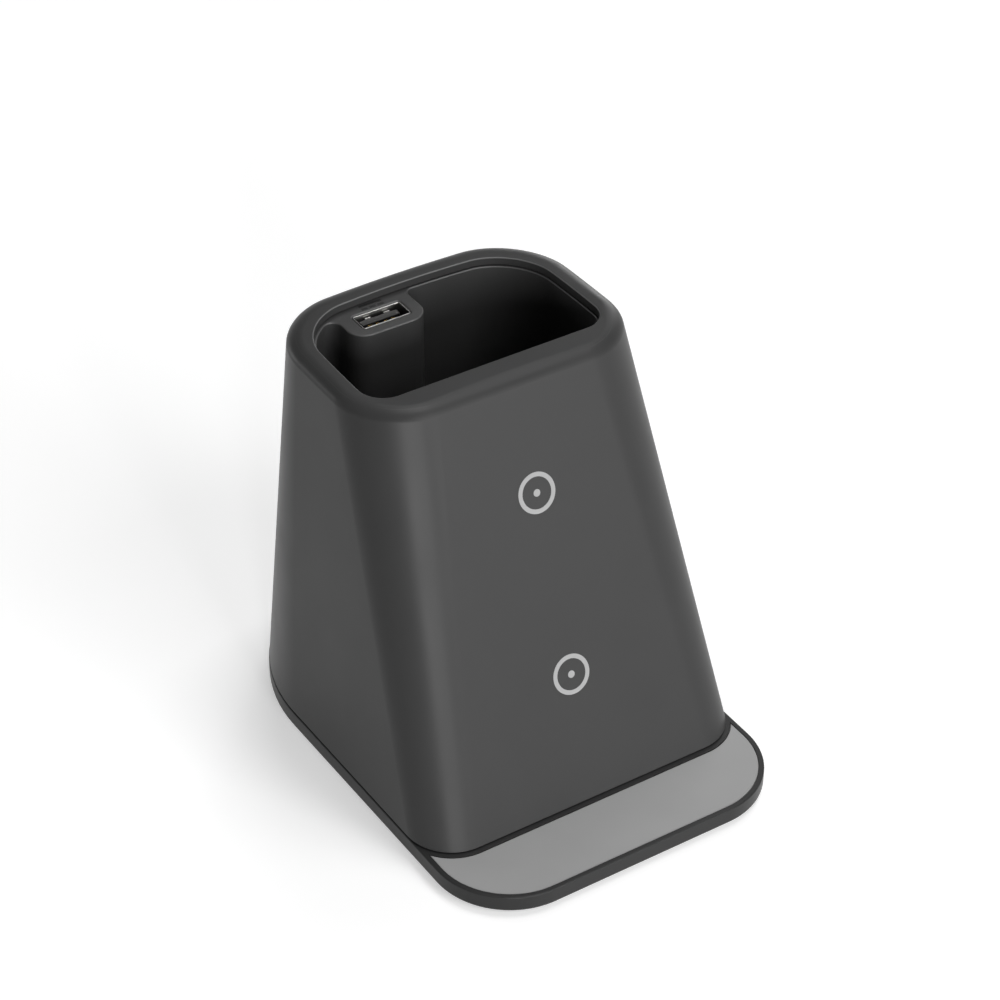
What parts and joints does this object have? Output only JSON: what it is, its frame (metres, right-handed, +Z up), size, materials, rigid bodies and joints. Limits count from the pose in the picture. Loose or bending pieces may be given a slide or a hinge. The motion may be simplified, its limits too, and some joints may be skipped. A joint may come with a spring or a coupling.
{
  "type": "wireless charger pen holder",
  "caption": "Tapered desk pen holder whose leaning front face charges a phone stood on a padded ledge, with a deep cup and a power outlet in its rear deck.",
  "frame": {"origin": "on the ground under the middle of the base's box", "axes": "+Z up, front face and padded ledge towards -Y, +X to the right as seen from the front"},
  "size_m": [0.09, 0.131, 0.1049],
  "materials": {
    "body_plastic": "soft-touch charcoal",
    "cup_plastic": "fine matt black",
    "base_plastic": "matt charcoal",
    "pad_silicone": "soft grey silicone",
    "foot_rubber": "black rubber",
    "bracket_nylon": "natural nylon",
    "zinc_steel": "zinc plated",
    "socket_metal": "nickel plated",
    "socket_plastic": "black insulator",
    "coil_copper": "enamelled copper strand",
    "ferrite": "sintered ferrite",
    "circuit_board": "green solder mask",
    "chip_epoxy": "black epoxy",
    "capacitor_film": "tan dipped film",
    "aluminium_can": "drawn can",
    "lead_sleeve": "red sleeve",
    "cable_sleeve": "black sleeve"
  },
  "bodies": {
    "root": {"base_tray": "base_plastic", "board_screw_1": "zinc_steel", "board_screw_2": "zinc_steel", "body_screw_front_left": "zinc_steel", "body_screw_front_right": "zinc_steel", "body_screw_rear_left": "zinc_steel", "body_screw_rear_right": "zinc_steel", "bottom_cover": "base_plastic", "bracket_screw_1": "zinc_steel", "bracket_screw_2": "zinc_steel", "bracket_screw_3": "zinc_steel", "bracket_screw_4": "zinc_steel", "bulk_capacitor": "aluminium_can", "coil_bracket": "bracket_nylon", "controller_chip": "chip_epoxy", "cup_insert": "cup_plastic", "filter_inductor": "ferrite", "foot_front_left": "foot_rubber", "foot_front_right": "foot_rubber", "foot_rear_left": "foot_rubber", "foot_rear_right": "foot_rubber", "front_pad": "pad_silicone", "inlet_board": "circuit_board", "inlet_shell": "socket_metal", "inlet_tongue": "socket_plastic", "lower_coil": "coil_copper", "lower_coil_driver": "chip_epoxy", "lower_coil_lead_inner": "lead_sleeve", "lower_coil_lead_outer": "lead_sleeve", "lower_ferrite": "ferrite", "main_board": "circuit_board", "outer_shell": "body_plastic", "outlet_board": "circuit_board", "outlet_cable": "cable_sleeve", "outlet_shell": "socket_metal", "outlet_tongue": "socket_plastic", "resonant_capacitor_1": "capacitor_film", "resonant_capacitor_2": "capacitor_film", "resonant_capacitor_3": "capacitor_film", "resonant_capacitor_4": "capacitor_film", "supply_cable": "cable_sleeve", "upper_coil": "coil_copper", "upper_coil_driver": "chip_epoxy", "upper_coil_lead_inner": "lead_sleeve", "upper_coil_lead_outer": "lead_sleeve", "upper_ferrite": "ferrite"}
  },
  "joints": []
}
